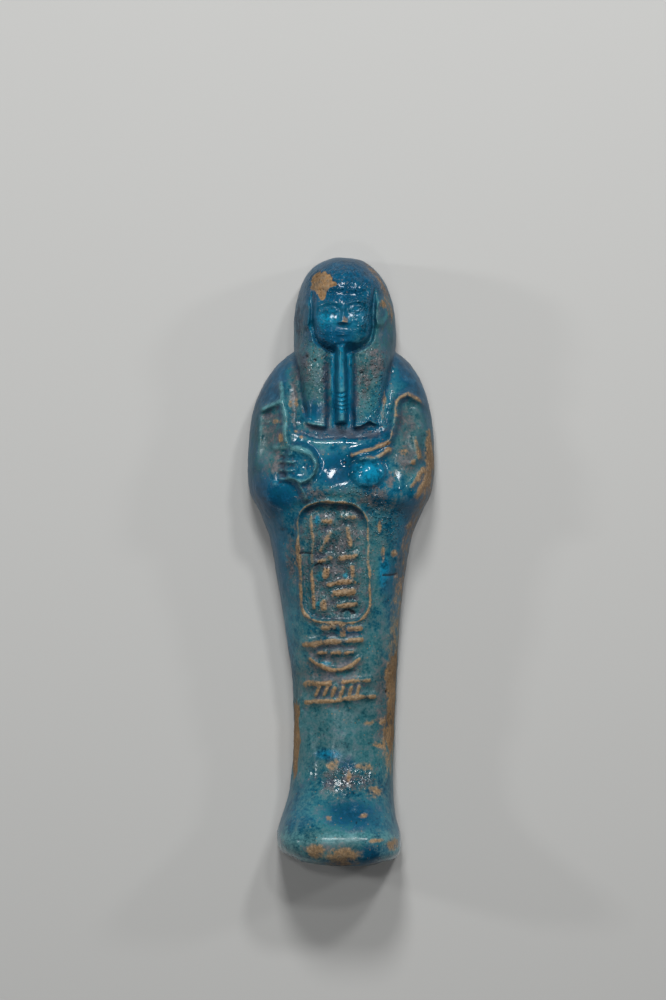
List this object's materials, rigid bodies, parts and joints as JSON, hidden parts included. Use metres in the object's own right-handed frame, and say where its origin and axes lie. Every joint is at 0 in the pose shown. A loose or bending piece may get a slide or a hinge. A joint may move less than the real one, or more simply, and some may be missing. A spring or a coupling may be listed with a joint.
{
  "type": "funerary figurine",
  "caption": "Mummiform funerary figurine with a flat back: a wig with lappets, a plaited beard, crossed fists that hold hoes, and an oval ring of strokes on the legs.",
  "frame": {"origin": "middle of the figure's box on the plane of its flat back, which it lies on", "axes": "+Y from the sole towards the crown, +Z out of the front, +X towards the right of someone who looks at the front"},
  "size_m": [0.0375, 0.12, 0.0247],
  "materials": {
    "blue_glaze": "gloss"
  },
  "bodies": {
    "root": {"figurine": "blue_glaze"}
  },
  "joints": []
}
